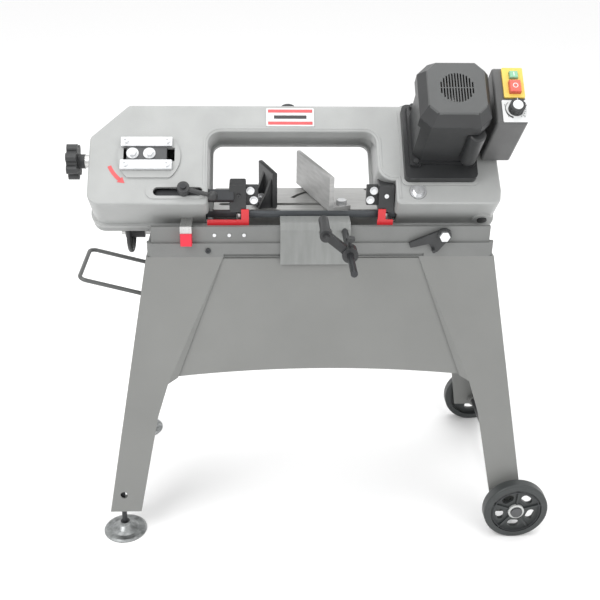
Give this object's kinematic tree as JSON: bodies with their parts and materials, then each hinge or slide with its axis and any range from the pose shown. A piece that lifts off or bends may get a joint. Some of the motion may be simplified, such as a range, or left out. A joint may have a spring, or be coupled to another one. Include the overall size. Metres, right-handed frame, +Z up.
{
  "type": "horizontal metal-cutting band saw",
  "caption": "Horizontal metal-cutting band saw: tilted hinged saw bow with motor, swivel vise and work stop on a splayed steel stand with transport wheels and levelling feet.",
  "frame": {"origin": "middle of the footprint on the floor", "axes": "+X to the operator's right along the bow, +Y away from the operator, +Z up"},
  "size_m": [0.9164, 0.5074, 0.9175],
  "materials": {
    "grey_paint": "satin sprayed grey enamel",
    "bare_cast": "ground cast iron",
    "steel": "machined steel",
    "chrome": "bright plated",
    "black_paint": "black semi-gloss enamel",
    "red_paint": "red guard enamel",
    "red_plastic": "gloss red",
    "green_plastic": "gloss green",
    "yellow_plastic": "yellow switch plate",
    "black_plastic": "moulded black",
    "white_plate": "printed plate",
    "tyre": "hard black wheel",
    "copper": "wound core"
  },
  "bodies": {
    "frame": {"leg_front_left": "grey_paint", "leg_front_right": "grey_paint", "leg_back_left": "grey_paint", "leg_back_right": "grey_paint", "stand_panels": "grey_paint", "wheel_axle": "steel", "pull_handle": "black_paint", "bed": "grey_paint", "work_table": "bare_cast", "front_support": "bare_cast", "frame_fasteners": "steel"},
    "levelling_foot_front": {"levelling_foot_front": "black_paint"},
    "levelling_foot_back": {"levelling_foot_back": "black_paint"},
    "transport_wheel_front": {"transport_wheel_front": "tyre"},
    "transport_wheel_back": {"transport_wheel_back": "tyre"},
    "vise_carriage": {"vise_carriage": "steel"},
    "vise_screw": {"vise_screw": "steel", "vise_handwheel": "black_paint"},
    "movable_jaw": {"movable_jaw": "black_paint"},
    "fixed_jaw": {"fixed_jaw": "bare_cast"},
    "stop_rod": {"stop_rod": "black_paint"},
    "stop_arm": {"stop_arm": "black_paint"},
    "latch": {"latch_lever": "black_paint"},
    "bow": {"bow_casting": "grey_paint", "cover_left": "grey_paint", "cover_right": "grey_paint", "saw_blade": "steel", "tension_gibs": "steel", "guide_head_right": "black_paint", "guide_guard_right": "red_paint", "motor_base": "black_paint", "motor_body": "black_paint", "motor_stator": "copper", "motor_cover": "black_plastic", "control_box": "black_plastic", "switch_plate": "yellow_plastic", "dial_plate": "white_plate", "name_plate": "white_plate", "down_stop_bracket": "steel", "down_stop_bumper": "red_plastic", "case_knobs": "black_plastic", "bow_fasteners": "chrome"},
    "drive_wheel": {"drive_wheel": "bare_cast", "drive_shaft": "steel"},
    "idler_wheel": {"idler_wheel": "bare_cast"},
    "tension_slide": {"tension_block": "steel"},
    "tension_screw": {"tension_screw": "steel", "tension_knob": "black_plastic"},
    "left_guide": {"guide_bar": "steel", "guide_head_left": "black_paint", "guide_guard_left": "red_paint"},
    "guide_lock": {"guide_lock_lever": "black_plastic"},
    "motor_rotor": {"motor_rotor": "steel"},
    "start_button": {"start_button": "green_plastic"},
    "stop_button": {"stop_button": "red_plastic"},
    "speed_dial": {"speed_dial": "black_plastic"},
    "roller_left_front": {"roller_left_front": "steel"},
    "roller_left_back": {"roller_left_back": "steel"},
    "roller_right_front": {"roller_right_front": "steel"},
    "roller_right_back": {"roller_right_back": "steel"}
  },
  "joints": [
    {"name": "bow_pivot", "type": "hinge", "parent": "frame", "child": "bow", "pos_m": [0.32875, 0.08735, 0.625], "axis": [0, 1, 0], "range_deg": [0, 90]},
    {"name": "levelling_front_turn", "type": "hinge", "parent": "frame", "child": "levelling_foot_front", "pos_m": [-0.38225, -0.15065, 0], "axis": [0, 0, 1], "continuous": true},
    {"name": "transport_front_spin", "type": "hinge", "parent": "frame", "child": "transport_wheel_front", "pos_m": [0.39475, -0.18315, 0.0635], "axis": [0, 1, 0], "continuous": true},
    {"name": "levelling_back_turn", "type": "hinge", "parent": "frame", "child": "levelling_foot_back", "pos_m": [-0.38225, 0.20535, 0], "axis": [0, 0, 1], "continuous": true},
    {"name": "transport_back_spin", "type": "hinge", "parent": "frame", "child": "transport_wheel_back", "pos_m": [0.39475, 0.23785, 0.0635], "axis": [0, 1, 0], "continuous": true},
    {"name": "vise_slide", "type": "slide", "parent": "frame", "child": "vise_carriage", "axis": [-1, 0, 0], "range_m": [-0.08, 0.045]},
    {"name": "vise_screw_turn", "type": "hinge", "parent": "frame", "child": "vise_screw", "pos_m": [-0.34625, 0.04135, 0.568], "axis": [1, 0, 0], "range_deg": [-5760, 3240]},
    {"name": "movable_jaw_swivel", "type": "hinge", "parent": "vise_carriage", "child": "movable_jaw", "pos_m": [-0.10625, 0.03135, 0.627], "axis": [0, 0, 1], "range_deg": [-19, 11]},
    {"name": "fixed_jaw_swivel", "type": "hinge", "parent": "frame", "child": "fixed_jaw", "pos_m": [0.04475, 0.01235, 0.627], "axis": [0, 0, 1], "range_deg": [-19, 11]},
    {"name": "stop_rod_slide", "type": "slide", "parent": "frame", "child": "stop_rod", "axis": [0, 1, 0], "range_m": [-0.03, 0]},
    {"name": "stop_arm_turn", "type": "hinge", "parent": "stop_rod", "child": "stop_arm", "pos_m": [0.04475, -0.16765, 0.612], "axis": [0, 1, 0], "range_deg": [-60, 90]},
    {"name": "latch_turn", "type": "hinge", "parent": "frame", "child": "latch", "pos_m": [0.22775, -0.06765, 0.604], "axis": [0, 1, 0], "range_deg": [-10, 60]},
    {"name": "drive_spin", "type": "hinge", "parent": "bow", "child": "drive_wheel", "pos_m": [0.21875, 0.04025, 0.6929], "axis": [0, -0.682, 0.7314], "continuous": true},
    {"name": "motor_spin", "type": "hinge", "parent": "bow", "child": "motor_rotor", "pos_m": [0.21875, -0.0104, 0.7824], "axis": [0, -0.682, 0.7314], "continuous": true},
    {"name": "tension_slide", "type": "slide", "parent": "bow", "child": "tension_slide", "axis": [1, 0, 0], "range_m": [0, 0.008]},
    {"name": "idler_spin", "type": "hinge", "parent": "tension_slide", "child": "idler_wheel", "pos_m": [-0.30925, 0.04025, 0.6929], "axis": [0, -0.682, 0.7314], "continuous": true},
    {"name": "tension_screw_turn", "type": "hinge", "parent": "bow", "child": "tension_screw", "pos_m": [-0.43625, 0.01979, 0.71484], "axis": [1, 0, 0], "range_deg": [0, 1920]},
    {"name": "guide_slide", "type": "slide", "parent": "bow", "child": "left_guide", "axis": [1, 0, 0], "range_m": [-0.024, 0]},
    {"name": "guide_lock_turn", "type": "hinge", "parent": "left_guide", "child": "guide_lock", "pos_m": [-0.24425, -0.0638, 0.69158], "axis": [0, -0.682, 0.7314], "range_deg": [0, 70]},
    {"name": "roller_left_front_spin", "type": "hinge", "parent": "left_guide", "child": "roller_left_front", "pos_m": [-0.14625, -0.03437, 0.63], "axis": [0, 0, 1], "continuous": true},
    {"name": "roller_left_back_spin", "type": "hinge", "parent": "left_guide", "child": "roller_left_back", "pos_m": [-0.14625, -0.02013, 0.63], "axis": [0, 0, 1], "continuous": true},
    {"name": "roller_right_front_spin", "type": "hinge", "parent": "bow", "child": "roller_right_front", "pos_m": [0.12075, -0.03437, 0.63], "axis": [0, 0, 1], "continuous": true},
    {"name": "roller_right_back_spin", "type": "hinge", "parent": "bow", "child": "roller_right_back", "pos_m": [0.12075, -0.02013, 0.63], "axis": [0, 0, 1], "continuous": true},
    {"name": "start_button_press", "type": "slide", "parent": "bow", "child": "start_button", "axis": [0, 0.682, -0.7314], "range_m": [0, 0.003], "stiffness_N_per_m": 350},
    {"name": "stop_button_press", "type": "slide", "parent": "bow", "child": "stop_button", "axis": [0, 0.682, -0.7314], "range_m": [0, 0.003], "stiffness_N_per_m": 350},
    {"name": "speed_dial_turn", "type": "hinge", "parent": "bow", "child": "speed_dial", "pos_m": [0.32475, -0.09386, 0.84404], "axis": [0, -0.682, 0.7314], "range_deg": [0, 270]}
  ],
  "couplings": [
    {"joint": "vise_screw_turn", "follows": "vise_slide", "rad_per_m": 1256.6},
    {"joint": "tension_screw_turn", "follows": "tension_slide", "rad_per_m": 4188.8},
    {"joint": "motor_spin", "follows": "drive_spin", "ratio": -3},
    {"joint": "idler_spin", "follows": "drive_spin", "ratio": 1},
    {"joint": "roller_left_front_spin", "follows": "drive_spin", "ratio": -14.203},
    {"joint": "roller_left_back_spin", "follows": "drive_spin", "ratio": 14.203},
    {"joint": "roller_right_front_spin", "follows": "drive_spin", "ratio": -14.203},
    {"joint": "roller_right_back_spin", "follows": "drive_spin", "ratio": 14.203}
  ]
}
